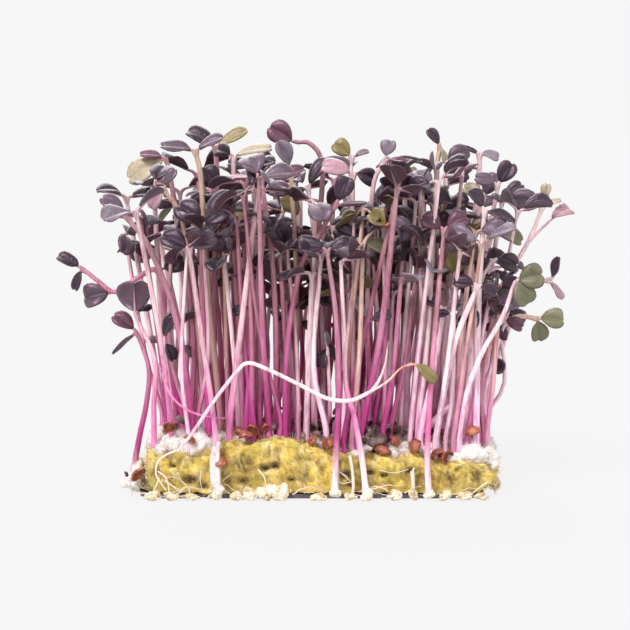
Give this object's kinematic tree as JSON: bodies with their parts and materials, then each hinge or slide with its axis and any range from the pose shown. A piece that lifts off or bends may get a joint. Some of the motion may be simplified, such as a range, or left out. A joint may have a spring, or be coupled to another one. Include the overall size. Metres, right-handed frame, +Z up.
{
  "type": "radish microgreens tray",
  "caption": "Dense stand of purple-leaved radish seedlings rooted in a fibre mat on a thin tray base, for shelves and tables.",
  "frame": {"origin": "middle of the tray base's underside, on the surface it stands on", "axes": "+Z up, -Y towards the front that the picture shows, +X along the mat's length to the right"},
  "size_m": [0.1219, 0.0767, 0.0862],
  "materials": {
    "tray": "satin dark sheet",
    "mat_fibre": "matted fibre",
    "root": "moist white root",
    "stem": "smooth moist stem",
    "leaf": "soft sheen leaf",
    "hull": "dry seed hull"
  },
  "bodies": {
    "root": {"tray_base": "tray", "growing_mat": "mat_fibre", "root_layer": "root", "bunch_01": "stem", "bunch_02": "stem", "bunch_03": "stem", "bunch_04": "stem", "bunch_05": "stem", "bunch_06": "stem", "bunch_07": "stem", "bunch_08": "stem", "bunch_09": "stem", "bunch_10": "stem", "bunch_11": "stem", "bunch_12": "stem", "bunch_13": "stem", "bunch_14": "stem", "bunch_15": "stem", "bunch_16": "stem", "bunch_17": "stem", "bunch_18": "stem", "bunch_19": "stem", "bunch_20": "stem", "bunch_21": "stem", "bunch_22": "stem", "bunch_23": "stem", "bunch_24": "stem", "bunch_25": "stem", "bunch_26": "stem", "bunch_27": "stem", "bunch_28": "stem", "bunch_29": "stem", "bunch_30": "stem", "bunch_31": "stem", "bunch_32": "stem", "bunch_33": "stem", "bunch_34": "stem", "bunch_35": "stem", "bunch_36": "stem", "front_seedling_1": "stem", "front_seedling_2": "stem", "front_seedling_3": "stem", "front_seedling_4": "stem", "left_seedling": "stem", "fallen_seedling": "stem"}
  },
  "joints": []
}
